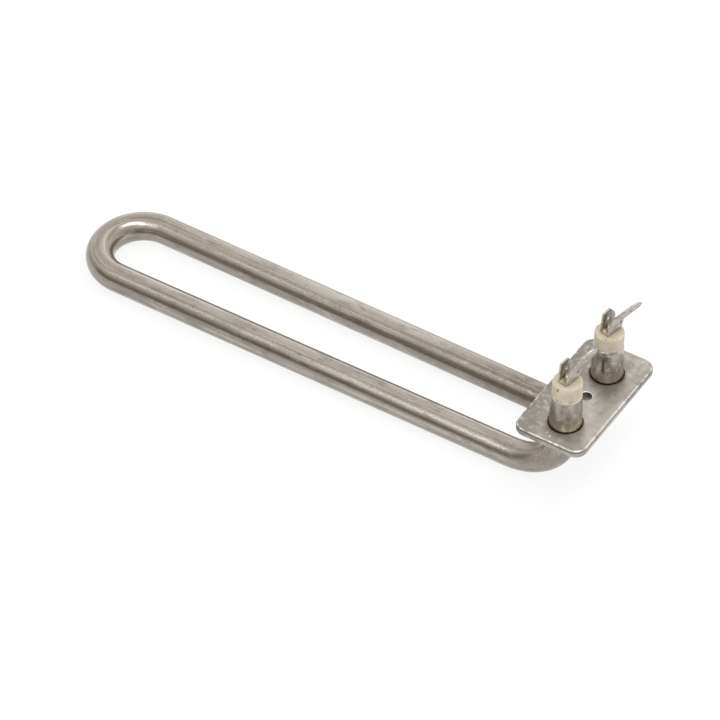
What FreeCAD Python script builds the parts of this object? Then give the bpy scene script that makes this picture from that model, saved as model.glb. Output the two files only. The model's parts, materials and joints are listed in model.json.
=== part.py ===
import FreeCAD, Part
import math
import os
from FreeCAD import Vector

# Tubular heating element, in millimetres.
# A steel tube is bent to a long hairpin that lies flat. Both of its ends turn up,
# pass through one flange plate and carry a ceramic bead and a double tab terminal.
# X runs from the hairpin's closed end to the plate, Y from the near post to the far
# one, Z is up. The origin is on the surface that the hairpin lies on, in the middle
# of the length and of the width.

# The sheath tube
TUBE_DIAMETER = 8.5
TUBE_WALL = 0.9
MOUTH_ROUND = 0.6
MOUTH_RIM = 1.2             # length of the straight rim below the mouth

# The hairpin: its legs come closer together toward the posts
HAIRPIN_LENGTH = 149.3      # from the posts' line to the centre of the closed end
CLOSED_END_SPACING = 24.5   # between the tube's centre lines at the closed end
POST_SPACING = 22.5         # between the axes of the two posts
UPTURN_RADIUS = 17.0        # centre line of the bend from leg to post
NEAR_POST_RISE = 10.6       # from the plate's top to the tube's mouth
FAR_POST_RISE = 11.0
POST_SWELL = 0.35           # how far the post's wall stands out where the plate sits

# The flange plate
PLATE_LENGTH = 42.4
PLATE_WIDTH = 21.6
PLATE_THICKNESS = 2.2
PLATE_CORNER_RADIUS = 3.6
PLATE_EDGE_ROUND = 0.7
PLATE_UNDER_ROUND = 0.2
PLATE_STANDOFF = 1.7        # of its underside over the upturn
PLATE_SETBACK = 0.7         # the outline's centre, from the posts' line to the closed end
PLATE_SIDESTEP = 0.5        # the outline's centre, from the middle to the far post
POST_HOLE_GAP = 0.4         # all round the post, in the plate
STAKED_RING_WIDTH = 0.8
STAKED_RING_DEPTH = 0.25
SCREW_HOLE_DIAMETER = 3.2
SCREW_HOLE_CHAMFER = 0.25

# The braze that holds each post in the plate
BRAZE_FILL = 1.3            # how far it rises in the gap round the post
BRAZE_DROP = 1.1            # how far it runs down the post below the plate
BRAZE_HOLLOW = 0.33         # where its hollow lower face passes, as a share of gap and drop

# The ceramic bead on each mouth
BEAD_DIAMETER = 8.3
BEAD_HEIGHT = 4.8
BEAD_TOP_ROUND = 1.0
BEAD_FOOT_CHAMFER = 0.25
SPIGOT_LENGTH = 1.6
SPIGOT_CLEARANCE = 0.1
PIN_BORE_CLEARANCE = 0.1

# The terminal pin, the seal and what fills the tube
PIN_DIAMETER = 1.8
PIN_STANDOUT = 1.9          # above the bead
PIN_CHAMFER = 0.3
PIN_RUN_IN_LEG = 12.0       # cold length past the upturn
SEAL_LENGTH = 5.0
COIL_DIAMETER = 3.4
COIL_GRIP = 6.0             # how far the coil is wound over the pin's end

# The double tab terminal: one strip folded to a U, whose two tabs lean to the side
STRIP_THICKNESS = 0.5
STRIP_WIDTH = 5.7
STRIP_FOLD_RADIUS = 0.2
PIN_TO_LEG_CLEARANCE = 0.2
TERMINAL_TURN = -10.0       # about the pin, in degrees
TERMINAL_SHIFT = 0.4        # of the strip's middle from the pin, along its width
TERMINAL_SIDESTEP = 0.1     # of the strip's middle from the pin, away from the short leg
LEG_HOLE_DIAMETER = 1.3
SHORT_LEG_HOLE_HEIGHT = 3.6
LONG_LEG_HOLE_HEIGHT = 2.7
LONG_LEG_HOLE_INSET = 1.4   # from the strip's high side
SHORT_TAB_LOW_SIDE = 7.0    # height of its upright side
SHORT_TAB_PEAK = 7.5
SHORT_TAB_PEAK_INSET = 2.8  # from the upright side
SHORT_TAB_CORNER = 4.8      # height of the corner where its slanting end stops
SHORT_TAB_CORNER_INSET = 0.6
SHORT_TAB_HIGH_SIDE = 3.2
LONG_LEG_LEAN = 33.0        # of the fold and the blade, in the leg's own plane
LONG_LEG_REACH = 5.6        # along the lean, from the strip's foot to the fold
LONG_LEG_PIVOT = 3.3        # height at which the blade's middle leaves the strip's middle
LONG_LEG_SHOULDER = 1.2     # height of the strip's far side edge
BLADE_LENGTH = 7.9
BLADE_WIDTH = 4.8
BLADE_FOLD_RADIUS = 0.4
BLADE_CHAMFER_LENGTH = 1.7
BLADE_CHAMFER_WIDTH = 1.2
BLADE_HOLE_DIAMETER = 1.2
BLADE_HOLE_RUN = 3.8        # from the fold
SHORT_LEG_TILT = 4.0        # toward the pin, in degrees
NEAR_LONG_LEG_SPLAY = 3.5   # away from the pin
NEAR_BLADE_FOLD = 18.5      # of the blade, further away from the pin
FAR_LONG_LEG_SPLAY = 4.6
FAR_BLADE_FOLD = 25.5

UP = Vector(0, 0, 1)
OUT = Vector(1, 0, 0)
SIDE = Vector(0, 1, 0)

# Sizes and heights that follow
tube_radius = TUBE_DIAMETER / 2
bore_radius = tube_radius - TUBE_WALL
post_radius = tube_radius + POST_SWELL
pin_radius = PIN_DIAMETER / 2
leg_height = tube_radius
upturn_top = leg_height + UPTURN_RADIUS
plate_bottom = upturn_top + PLATE_STANDOFF
plate_top = plate_bottom + PLATE_THICKNESS
post_hole_radius = post_radius + POST_HOLE_GAP
closed_end_radius = CLOSED_END_SPACING / 2

# The middle of the length and of the width, seen from the posts' line
tip_reach = HAIRPIN_LENGTH + closed_end_radius + tube_radius
plate_reach = PLATE_WIDTH / 2 - PLATE_SETBACK
post_x = (tip_reach - plate_reach) / 2
post_line_y = -PLATE_SIDESTEP
closed_end_x = post_x - HAIRPIN_LENGTH

NEAR = -1
FAR = 1
QUARTER_TURN = 90
FULL_TURN = 360
TOLERANCE = 0.01


def post_y(side):
    return post_line_y + side * POST_SPACING / 2


def mouth_height(side):
    rise = NEAR_POST_RISE if side == NEAR else FAR_POST_RISE
    return plate_top + rise


def bead_top(side):
    return mouth_height(side) + BEAD_HEIGHT


def seal_bottom(side):
    return mouth_height(side) - SPIGOT_LENGTH - SEAL_LENGTH


def leg_line(side):
    """Where a leg leaves the closed end, and its direction from the post to there."""
    foot = Vector(post_x, post_y(side), leg_height)
    centre = Vector(closed_end_x, post_line_y, leg_height)
    to_centre = centre - foot
    spread = math.asin(closed_end_radius / to_centre.Length)
    bearing = math.atan2(to_centre.y, to_centre.x) - side * spread
    direction = Vector(math.cos(bearing), math.sin(bearing), 0)
    run = math.sqrt(to_centre.Length ** 2 - closed_end_radius ** 2)
    return foot + direction * run, direction


def line(start, end):
    return Part.LineSegment(start, end).toShape()


def arc(start, middle, end):
    return Part.Arc(start, middle, end).toShape()


class Straight:
    """A straight length of a centre line."""

    def __init__(self, start, end):
        self.start = start
        self.end = end

    def bar(self, radius):
        run = self.end - self.start
        return Part.makeCylinder(radius, run.Length, self.start, run)


class Bend:
    """A bent length of a centre line: a turn of some degrees about an axis."""

    def __init__(self, start, centre, axis, angle):
        self.start = start
        self.centre = centre
        self.axis = axis
        self.angle = angle

    def bar(self, radius):
        heading = self.axis.cross(self.start - self.centre)
        section = Part.Face(Part.Wire([Part.Circle(self.start, heading, radius).toShape()]))
        return section.revolve(self.centre, self.axis, self.angle)


def upturn(side):
    """The bend from post to leg, and the point where it meets the leg."""
    direction = leg_line(side)[1]
    upper = Vector(post_x, post_y(side), upturn_top)
    centre = upper + direction * UPTURN_RADIUS
    lower = centre - UP * UPTURN_RADIUS
    return Bend(upper, centre, direction.cross(UP), QUARTER_TURN), lower


def cold_route(side, top, run):
    """Down one post from a height, round its bend and a run into the leg."""
    bend, lower = upturn(side)
    start = Vector(bend.start.x, bend.start.y, top)
    return [Straight(start, bend.start), bend, Straight(lower, lower + leg_line(side)[1] * run)]


def closed_end():
    """The wide bend that joins the legs, from the near leg to the far one."""
    centre = Vector(closed_end_x, post_line_y, leg_height)
    start = leg_line(NEAR)[0]
    half_turn = math.degrees((start - centre).getAngle(OUT * -1))
    return Bend(start, centre, UP * -1, 2 * half_turn)


def hairpin_route(near_top, far_top):
    """The whole centre line, from one height in the near post to one in the far post."""
    pieces = []
    for side, top in ((NEAR, near_top), (FAR, far_top)):
        bend, lower = upturn(side)
        pieces.append(Straight(Vector(bend.start.x, bend.start.y, top), bend.start))
        pieces.append(bend)
        pieces.append(Straight(lower, leg_line(side)[0]))
    pieces.append(closed_end())
    return pieces


def hot_route():
    """The coil's centre line, from the near pin's inner end to the far pin's."""
    pieces = [closed_end()]
    for side in (NEAR, FAR):
        tangent, direction = leg_line(side)
        inner = upturn(side)[1] + direction * (PIN_RUN_IN_LEG - COIL_GRIP)
        pieces.append(Straight(inner, tangent))
    return pieces


def round_bar(route, radius):
    """A round bar along a centre line of straight and bent lengths."""
    bars = [piece.bar(radius) for piece in route]
    return bars[0].multiFuse(bars[1:])


def square_corner(corner, before, after, radius):
    """Start, middle and end of the arc that rounds a square corner."""
    start = corner + (before - corner).normalize() * radius
    end = corner + (after - corner).normalize() * radius
    centre = start + end - corner
    middle = centre + (corner - centre).normalize() * radius
    return start, middle, end


def turned(points, side):
    """A solid of revolution about a post's axis, from (radius, height) points.

    A third number rounds that corner, which has to be square.
    """
    origin = Vector(post_x, post_y(side), 0)
    corners = [origin + OUT * point[0] + UP * point[1] for point in points]
    edges = []
    ends = []
    for index, point in enumerate(points):
        corner = corners[index]
        after = corners[(index + 1) % len(points)]
        if len(point) == 2:
            ends.append((corner, corner))
        else:
            start, middle, end = square_corner(corner, corners[index - 1], after, point[2])
            edges.append(arc(start, middle, end))
            ends.append((start, end))
    for index in range(len(points)):
        edges.append(line(ends[index - 1][1], ends[index][0]))
    outline = Part.Wire(Part.__sortEdges__(edges))
    return Part.Face(outline).revolve(origin, UP, FULL_TURN)


def cylinder(radius, bottom, top, x, y):
    return Part.makeCylinder(radius, top - bottom, Vector(x, y, bottom), UP)


def post_shell(side):
    """The tube's outside above the upturn: a swell at the plate and a rounded mouth."""
    mouth = mouth_height(side)
    return turned([
        (0, upturn_top),
        (tube_radius, upturn_top),
        (post_radius, plate_bottom - BRAZE_DROP),
        (post_radius, plate_top),
        (tube_radius, mouth - MOUTH_RIM),
        (tube_radius, mouth, MOUTH_ROUND),
        (0, mouth),
    ], side)


def sheath_tube():
    outside = round_bar(hairpin_route(plate_bottom, plate_bottom), tube_radius)
    for side in (NEAR, FAR):
        outside = outside.fuse(post_shell(side))
    bore = round_bar(hairpin_route(mouth_height(NEAR), mouth_height(FAR)), bore_radius)
    return outside.removeSplitter().cut(bore)


def terminal_pin(side):
    """A bar from the leg up to its chamfered end between the terminal's tabs."""
    top = bead_top(side) + PIN_STANDOUT
    straight_from = seal_bottom(side)
    bar = round_bar(cold_route(side, straight_from, PIN_RUN_IN_LEG), pin_radius)
    stem = turned([
        (0, straight_from),
        (pin_radius, straight_from),
        (pin_radius, top - PIN_CHAMFER),
        (pin_radius - PIN_CHAMFER, top),
        (0, top),
    ], side)
    return bar.fuse(stem).removeSplitter()


def resistance_coil(pins):
    coil = round_bar(hot_route(), COIL_DIAMETER / 2)
    return coil.cut(pins[NEAR]).cut(pins[FAR])


def magnesia_fill(coil, pins):
    route = hairpin_route(seal_bottom(NEAR), seal_bottom(FAR))
    fill = round_bar(route, bore_radius)
    return fill.cut(coil).cut(pins[NEAR]).cut(pins[FAR])


def end_seal(side):
    top = seal_bottom(side) + SEAL_LENGTH
    return turned([
        (pin_radius, seal_bottom(side)),
        (bore_radius, seal_bottom(side)),
        (bore_radius, top),
        (pin_radius, top),
    ], side)


def ceramic_bead(side):
    """A round-shouldered bead with a spigot that centres it in the tube's mouth."""
    seat = mouth_height(side)
    top = bead_top(side)
    outer = BEAD_DIAMETER / 2
    bore = pin_radius + PIN_BORE_CLEARANCE
    spigot = bore_radius - SPIGOT_CLEARANCE
    return turned([
        (bore, seat - SPIGOT_LENGTH),
        (spigot, seat - SPIGOT_LENGTH),
        (spigot, seat),
        (outer - BEAD_FOOT_CHAMFER, seat),
        (outer, seat + BEAD_FOOT_CHAMFER),
        (outer, top, BEAD_TOP_ROUND),
        (bore, top),
    ], side)


def flange_plate():
    x_start = post_x - PLATE_SETBACK - PLATE_WIDTH / 2
    y_start = post_line_y + PLATE_SIDESTEP - PLATE_LENGTH / 2
    corner = Vector(x_start, y_start, plate_bottom)
    plate = Part.makeBox(PLATE_WIDTH, PLATE_LENGTH, PLATE_THICKNESS, corner)
    upright = [e for e in plate.Edges if is_upright(e)]
    plate = plate.makeFillet(PLATE_CORNER_RADIUS, upright)
    plate = rim_rounded(plate, plate_top, PLATE_EDGE_ROUND)
    plate = rim_rounded(plate, plate_bottom, PLATE_UNDER_ROUND)
    for side in (NEAR, FAR):
        plate = plate.cut(turned([
            (0, plate_bottom),
            (post_hole_radius, plate_bottom),
            (post_hole_radius, plate_top - STAKED_RING_DEPTH),
            (post_hole_radius + STAKED_RING_WIDTH, plate_top),
            (0, plate_top),
        ], side))
    radius = SCREW_HOLE_DIAMETER / 2
    hole = cylinder(radius, plate_bottom, plate_top, post_x, post_line_y)
    wide = radius + SCREW_HOLE_CHAMFER
    mouth = Part.makeCone(radius, wide, SCREW_HOLE_CHAMFER,
                          Vector(post_x, post_line_y, plate_top - SCREW_HOLE_CHAMFER), UP)
    return plate.cut(hole).cut(mouth)


def is_upright(edge):
    return edge.tangentAt(edge.FirstParameter).cross(UP).Length < TOLERANCE


def rim_rounded(plate, height, radius):
    """Fillets the outline's edges that lie at one height."""
    rim = []
    for edge in plate.Edges:
        box = edge.BoundBox
        if abs(box.ZMin - height) < TOLERANCE and abs(box.ZMax - height) < TOLERANCE:
            rim.append(edge)
    return plate.makeFillet(radius, rim)


def braze_ring(side):
    """Fills the foot of the gap round a post and runs a little down the post, clear of
    the plate's flat underside."""
    hollow = post_radius + POST_HOLE_GAP * BRAZE_HOLLOW
    return turned([
        (post_radius, plate_bottom - BRAZE_DROP),
        (hollow, plate_bottom - BRAZE_DROP * BRAZE_HOLLOW),
        (post_hole_radius, plate_bottom),
        (post_hole_radius, plate_bottom + BRAZE_FILL),
        (post_radius, plate_bottom + BRAZE_FILL),
    ], side)


class LeaningBlade:
    """A blade that leaves an upright strip at an angle, in the strip's own plane.

    Its outlines lie in the YZ plane: y runs over the strip's width from its low side
    to its high side, z up the strip. Places on the blade are given across and along it,
    from the foot of the strip's low side.
    """

    def __init__(self, lean, pivot):
        self.sine = math.sin(math.radians(lean))
        self.cosine = math.cos(math.radians(lean))
        self.middle = STRIP_WIDTH / 2 * self.cosine - pivot * self.sine

    def at(self, off_middle, along, depth=0.0):
        across = self.middle + off_middle
        y = across * self.cosine + along * self.sine
        z = along * self.cosine - across * self.sine
        return Vector(depth, y, z)

    def width_direction(self):
        return Vector(0, self.cosine, -self.sine)

    def outline(self, start, end):
        """The blade from one reach to another, with chamfers at the far end."""
        side = BLADE_WIDTH / 2
        end_side = side - BLADE_CHAMFER_WIDTH
        shoulder = end - BLADE_CHAMFER_LENGTH
        return [
            self.at(-side, start),
            self.at(-side, shoulder),
            self.at(-end_side, end),
            self.at(end_side, end),
            self.at(side, shoulder),
            self.at(side, start),
        ]


def sheet(points):
    """A flat piece of strip: its outer face in the YZ plane, its thickness inward."""
    outline = Part.makePolygon(points + [points[0]])
    return Part.Face(outline).extrude(OUT * -STRIP_THICKNESS)


def drill(place, diameter):
    margin = STRIP_THICKNESS
    start = place + OUT * margin
    return Part.makeCylinder(diameter / 2, STRIP_THICKNESS + 2 * margin, start, OUT * -1)


def short_leg(foot_height):
    """The leg whose own slanting end is a tab, from the fold at its foot up."""
    points = [
        Vector(0, 0, foot_height),
        Vector(0, 0, SHORT_TAB_LOW_SIDE),
        Vector(0, SHORT_TAB_PEAK_INSET, SHORT_TAB_PEAK),
        Vector(0, STRIP_WIDTH - SHORT_TAB_CORNER_INSET, SHORT_TAB_CORNER),
        Vector(0, STRIP_WIDTH, SHORT_TAB_HIGH_SIDE),
        Vector(0, STRIP_WIDTH, foot_height),
    ]
    hole = Vector(0, STRIP_WIDTH / 2, SHORT_LEG_HOLE_HEIGHT)
    return sheet(points).cut(drill(hole, LEG_HOLE_DIAMETER))


def long_leg(fold, foot_height):
    """The leg whose long blade is folded away from the pin, across its lean."""
    blade_way = LeaningBlade(LONG_LEG_LEAN, LONG_LEG_PIVOT)
    points = [
        Vector(0, 0, foot_height),
        blade_way.at(-STRIP_WIDTH / 2, LONG_LEG_REACH),
        blade_way.at(STRIP_WIDTH / 2, LONG_LEG_REACH),
        Vector(0, STRIP_WIDTH, LONG_LEG_SHOULDER),
        Vector(0, STRIP_WIDTH, foot_height),
    ]
    hole = Vector(0, STRIP_WIDTH - LONG_LEG_HOLE_INSET, LONG_LEG_HOLE_HEIGHT)
    leg = sheet(points).cut(drill(hole, LEG_HOLE_DIAMETER))

    side = BLADE_WIDTH / 2
    fold_axis = blade_way.width_direction()
    fold_point = blade_way.at(-side, LONG_LEG_REACH, BLADE_FOLD_RADIUS)
    section = Part.Face(Part.makePolygon([
        blade_way.at(-side, LONG_LEG_REACH),
        blade_way.at(side, LONG_LEG_REACH),
        blade_way.at(side, LONG_LEG_REACH, -STRIP_THICKNESS),
        blade_way.at(-side, LONG_LEG_REACH, -STRIP_THICKNESS),
        blade_way.at(-side, LONG_LEG_REACH),
    ]))
    knuckle = section.revolve(fold_point, fold_axis, fold)

    blade = sheet(blade_way.outline(LONG_LEG_REACH, LONG_LEG_REACH + BLADE_LENGTH))
    eye = blade_way.at(0, LONG_LEG_REACH + BLADE_HOLE_RUN)
    blade = blade.cut(drill(eye, BLADE_HOLE_DIAMETER))
    blade.rotate(fold_point, fold_axis, fold)
    return leg.fuse(knuckle).fuse(blade)


def tab_terminal(side):
    """The folded strip on one bead, with the pin through its foot."""
    near = side == NEAR
    splay = NEAR_LONG_LEG_SPLAY if near else FAR_LONG_LEG_SPLAY
    fold = NEAR_BLADE_FOLD if near else FAR_BLADE_FOLD
    half_width = pin_radius + PIN_TO_LEG_CLEARANCE + STRIP_THICKNESS
    outer_fold = STRIP_FOLD_RADIUS + STRIP_THICKNESS
    half_flat = half_width - outer_fold

    foot = Part.makeBox(2 * half_flat, STRIP_WIDTH, STRIP_THICKNESS, Vector(-half_flat, 0, 0))
    pin_hole = Part.makeCylinder(pin_radius, outer_fold,
                                 Vector(-TERMINAL_SIDESTEP, STRIP_WIDTH / 2 - TERMINAL_SHIFT, 0), UP)

    def corner(turn):
        face = Part.Face(Part.makePolygon([
            Vector(half_flat, 0, 0),
            Vector(half_flat, STRIP_WIDTH, 0),
            Vector(half_flat, STRIP_WIDTH, STRIP_THICKNESS),
            Vector(half_flat, 0, STRIP_THICKNESS),
            Vector(half_flat, 0, 0),
        ]))
        return face.revolve(Vector(half_flat, 0, outer_fold), SIDE * -1, turn)

    long_side = placed_leg(long_leg(fold, outer_fold), half_flat, outer_fold, splay)
    right = corner(QUARTER_TURN - splay).fuse(long_side)
    short_side = placed_leg(short_leg(outer_fold), half_flat, outer_fold, -SHORT_LEG_TILT)
    left = corner(QUARTER_TURN + SHORT_LEG_TILT).fuse(short_side).mirror(Vector(0, 0, 0), OUT)
    strip = foot.fuse(right).fuse(left).removeSplitter().cut(pin_hole)

    strip.translate(Vector(TERMINAL_SIDESTEP, TERMINAL_SHIFT - STRIP_WIDTH / 2, 0))
    strip.rotate(Vector(0, 0, 0), UP, TERMINAL_TURN)
    strip.translate(Vector(post_x, post_y(side), bead_top(side)))
    return strip


def placed_leg(leg, half_flat, outer_fold, splay):
    """Turns a leg, drawn upright over its fold, about the fold's centre line."""
    leg = leg.copy()
    leg.translate(Vector(half_flat + outer_fold, 0, 0))
    leg.rotate(Vector(half_flat, 0, outer_fold), SIDE, splay)
    return leg


def build():
    pins = {side: terminal_pin(side) for side in (NEAR, FAR)}
    coil = resistance_coil(pins)
    pieces = {
        "sheath_tube": sheath_tube(),
        "magnesia_fill": magnesia_fill(coil, pins),
        "resistance_coil": coil,
        "flange_plate": flange_plate(),
    }
    for side, word in ((NEAR, "near"), (FAR, "far")):
        pieces[word + "_terminal_pin"] = pins[side]
        pieces[word + "_end_seal"] = end_seal(side)
        pieces[word + "_ceramic_bead"] = ceramic_bead(side)
        pieces[word + "_tab_terminal"] = tab_terminal(side)
        pieces[word + "_braze_ring"] = braze_ring(side)
    return pieces


os.makedirs("parts", exist_ok=True)
for name, shape in build().items():
    solids = len(shape.Solids)
    print(name, "solids", solids, "valid", shape.isValid(), "volume", round(shape.Volume, 2))
    shape.exportStep(os.path.join("parts", name + ".step"))
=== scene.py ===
import json
import math
import bmesh
import bpy
from mathutils import Matrix, Vector

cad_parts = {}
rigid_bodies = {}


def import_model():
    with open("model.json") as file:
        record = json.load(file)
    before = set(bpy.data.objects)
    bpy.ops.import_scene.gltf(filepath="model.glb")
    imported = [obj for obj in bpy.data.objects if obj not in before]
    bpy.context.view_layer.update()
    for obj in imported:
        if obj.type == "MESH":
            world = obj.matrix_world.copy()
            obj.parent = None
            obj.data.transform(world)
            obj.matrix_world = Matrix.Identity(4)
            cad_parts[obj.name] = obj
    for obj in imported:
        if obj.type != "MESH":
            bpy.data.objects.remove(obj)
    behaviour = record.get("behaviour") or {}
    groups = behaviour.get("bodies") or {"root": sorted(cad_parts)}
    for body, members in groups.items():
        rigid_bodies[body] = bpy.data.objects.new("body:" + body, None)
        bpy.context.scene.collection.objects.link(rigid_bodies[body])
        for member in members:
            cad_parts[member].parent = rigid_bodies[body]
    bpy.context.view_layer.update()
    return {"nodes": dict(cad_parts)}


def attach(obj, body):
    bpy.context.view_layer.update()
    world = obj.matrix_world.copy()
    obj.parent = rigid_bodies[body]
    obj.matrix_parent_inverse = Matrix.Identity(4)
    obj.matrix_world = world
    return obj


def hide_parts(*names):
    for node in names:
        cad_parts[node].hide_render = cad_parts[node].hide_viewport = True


# Tubular heating element: the looks of its parts, the floor, the light and the camera.
# Lengths are in metres and lie in the same frame as the solids.

bpy.ops.object.select_all(action="SELECT")
bpy.ops.object.delete()

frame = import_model()

MM = 0.001
NEAR = "near"
FAR = "far"
SIDES = (NEAR, FAR)
QUARTER = math.radians(90)
OUTWARD = Vector((1, 0, 0))
UP = Vector((0, 0, 1))

# Places and sizes that the solids give
TUBE_RADIUS = 4.25 * MM
TUBE_BORE = 3.35 * MM
POST_X = 77.85 * MM
POST_Y = {NEAR: -11.75 * MM, FAR: 10.75 * MM}
MIDDLE_Y = -0.5 * MM
LEG_Z = 4.25 * MM
CLOSED_END = Vector((-71.45 * MM, MIDDLE_Y, LEG_Z))
CLOSED_END_RADIUS = 12.25 * MM
UPTURN_RADIUS = 17 * MM
UPTURN_TOP = 21.25 * MM
UPTURN_START = POST_X - UPTURN_RADIUS
LEG_NARROWING = 0.0067       # how fast the legs close in toward the posts
POST_SWELL_RADIUS = 4.6 * MM
SWELL_TOP = 21.85 * MM
MOUTH_Z = {NEAR: 35.75 * MM, FAR: 36.15 * MM}
MOUTH_ROUND = 0.6 * MM
MOUTH_RIM = 1.2 * MM
PLATE_TOP = 25.15 * MM
PLATE_BOTTOM = 22.95 * MM
PLATE_MIDDLE_X = 77.15 * MM
PLATE_LOW = Vector((66.35, -21.2, 22.95)) * MM
PLATE_HIGH = Vector((87.95, 21.2, 25.15)) * MM
PLATE_CORNER = 3.6 * MM
POST_HOLE_RADIUS = 5.0 * MM
STAKED_RADIUS = 5.8 * MM
STAKED_DEPTH = 0.25 * MM
SCREW_HOLE_RADIUS = 1.6 * MM
BEAD_RADIUS = 4.15 * MM
BEAD_HEIGHT = 4.8 * MM
PIN_BORE = 1.0 * MM

# Sizes that only the looks need
MOUTH_DEPTH = 3.0 * MM
MOUTH_INNER_ROUND = 0.1 * MM
MOUTH_INNER_FLARE = 0.08 * MM
PLATE_EDGE_ROUND = 0.7 * MM
PLATE_UNDER_ROUND = 0.2 * MM
SCREW_HOLE_ROUND = 0.25 * MM
BEAD_SHOULDER = 1.0 * MM
BEAD_FOOT_ROUND = 0.25 * MM
PIN_BORE_DEPTH = 4.2 * MM
PIN_BORE_ROUND = 0.15 * MM
BROKEN_EDGE = 0.09 * MM
CUTTER_OVERRUN = 0.5 * MM

# How finely round shapes are divided, and how close counts as the same
ROUND_SIDES = 72
UPTURN_STEPS = 24
CLOSED_END_STEPS = 64
MOUTH_STEPS = 6
SAME_POINT = 0.002 * MM
SAME_HEIGHT = 0.01 * MM
SAME_RADIUS = 0.02 * MM


def bead_top(side):
    return MOUTH_Z[side] + BEAD_HEIGHT


def post_axis(side, height=0.0):
    return Vector((POST_X, POST_Y[side], height))


# Shaping by hand

def only(piece):
    bpy.ops.object.select_all(action="DESELECT")
    piece.select_set(True)
    bpy.context.view_layer.objects.active = piece


def edit(piece):
    only(piece)
    bpy.ops.object.mode_set(mode="EDIT")
    bpy.ops.mesh.select_all(action="DESELECT")


def done():
    bpy.ops.object.mode_set(mode="OBJECT")


def pick(kind, test):
    """Selects the edges or faces of the piece in hand that pass a test, and nothing else."""
    bpy.ops.mesh.select_all(action="DESELECT")
    bpy.ops.mesh.select_mode(type="EDGE" if kind == "edges" else "FACE")
    mesh = bpy.context.active_object.data
    shape = bmesh.from_edit_mesh(mesh)
    for element in getattr(shape, kind):
        if test(element):
            element.select_set(True)
    shape.select_flush_mode()
    bmesh.update_edit_mesh(mesh)


def apply_place(piece):
    only(piece)
    bpy.ops.object.transform_apply(location=True, rotation=True, scale=True)


def settle(piece, angle):
    """Brings a piece's place into its mesh and smooths it up to an angle in degrees."""
    apply_place(piece)
    bpy.ops.object.shade_smooth_by_angle(angle=math.radians(angle))


def outward_faces(piece):
    edit(piece)
    bpy.ops.mesh.select_all(action="SELECT")
    bpy.ops.mesh.remove_doubles(threshold=SAME_POINT)
    bpy.ops.mesh.normals_make_consistent(inside=False)
    done()


def modify(piece, kind, **settings):
    only(piece)
    modifier = piece.modifiers.new(kind.title(), kind)
    for key, value in settings.items():
        setattr(modifier, key, value)
    bpy.ops.object.modifier_apply(modifier=modifier.name)


def is_upright(edge):
    run = edge.verts[1].co - edge.verts[0].co
    return abs(run.z) > 0.9 * run.length


def at_height(edge, height):
    return all(abs(vert.co.z - height) < SAME_HEIGHT for vert in edge.verts)


def finish_piece(piece, name, material, nodes):
    piece.name = name
    piece.data.name = name
    piece.data.materials.clear()
    piece.data.materials.append(material)
    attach(piece, "root")
    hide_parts(*nodes)


# Finishes

def add(tree, kind, inputs=None, **settings):
    node = tree.nodes.new(kind)
    for key, value in settings.items():
        setattr(node, key, value)
    for key, value in (inputs or {}).items():
        if isinstance(value, bpy.types.NodeSocket):
            tree.links.new(value, node.inputs[key])
        else:
            node.inputs[key].default_value = value
    return node


def new_finish(name, metallic, **constants):
    material = bpy.data.materials.new(name)
    material.use_nodes = True
    tree = material.node_tree
    shader = tree.nodes["Principled BSDF"]
    shader.inputs["Metallic"].default_value = metallic
    for key, value in constants.items():
        shader.inputs[key.replace("_", " ")].default_value = value
    place = add(tree, "ShaderNodeTexCoord").outputs["Object"]
    return material, tree, shader, place


def join(tree, shader, **sockets):
    for key, value in sockets.items():
        tree.links.new(value, shader.inputs[key.replace("_", " ")])


def axes(tree, vector):
    parts = add(tree, "ShaderNodeSeparateXYZ", {0: vector}).outputs
    return parts["X"], parts["Y"], parts["Z"]


def face_direction(tree):
    return axes(tree, add(tree, "ShaderNodeNewGeometry").outputs["Normal"])


def stretched(tree, place, scale, move=(0, 0, 0)):
    inputs = {"Vector": place, "Scale": scale, "Location": move}
    return add(tree, "ShaderNodeMapping", inputs).outputs["Vector"]


def shifted(tree, place, move):
    return stretched(tree, place, (1, 1, 1), move)


def noise(tree, place, size, detail=4.0, rough=0.55, distortion=0.0):
    """Noise whose patches are about this size in millimetres."""
    inputs = {"Vector": place, "Scale": 1 / (size * MM), "Detail": detail,
              "Roughness": rough, "Distortion": distortion}
    return add(tree, "ShaderNodeTexNoise", inputs).outputs["Fac"]


def spread(tree, value, start, full, at_start=0.0, at_full=1.0):
    """Goes softly from one amount to another while a value goes from start to full."""
    inputs = {"Value": value, "From Min": start, "From Max": full,
              "To Min": at_start, "To Max": at_full}
    node = add(tree, "ShaderNodeMapRange", inputs, interpolation_type="SMOOTHSTEP")
    return node.outputs["Result"]


def maths(tree, operation, a, b=0.0):
    return add(tree, "ShaderNodeMath", {0: a, 1: b}, operation=operation).outputs[0]


def times(tree, a, b):
    return maths(tree, "MULTIPLY", a, b)


def distance_from(tree, value, middle):
    return maths(tree, "ABSOLUTE", maths(tree, "SUBTRACT", value, middle))


def mixed(tree, share, first, second):
    node = add(tree, "ShaderNodeMix", data_type="RGBA", blend_type="MIX")
    for index, value in ((0, share), (6, first), (7, second)):
        if isinstance(value, bpy.types.NodeSocket):
            tree.links.new(value, node.inputs[index])
        else:
            node.inputs[index].default_value = value
    return node.outputs[2]


def two_tone(tree, pattern, start, full, first, second):
    return mixed(tree, spread(tree, pattern, start, full), first, second)


def stained(tree, shade, pattern, start, full, strength, tint):
    """Lays a tint over a shade where a pattern goes from start to full."""
    return mixed(tree, spread(tree, pattern, start, full, 0.0, strength), shade, tint)


def painted(tree, shade, mask, strength, tint):
    return mixed(tree, times(tree, mask, strength), shade, tint)


def bump(tree, height, depth, strength, under=None):
    inputs = {"Height": height, "Distance": depth, "Strength": strength}
    if under is not None:
        inputs["Normal"] = under
    return add(tree, "ShaderNodeBump", inputs).outputs["Normal"]


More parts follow.
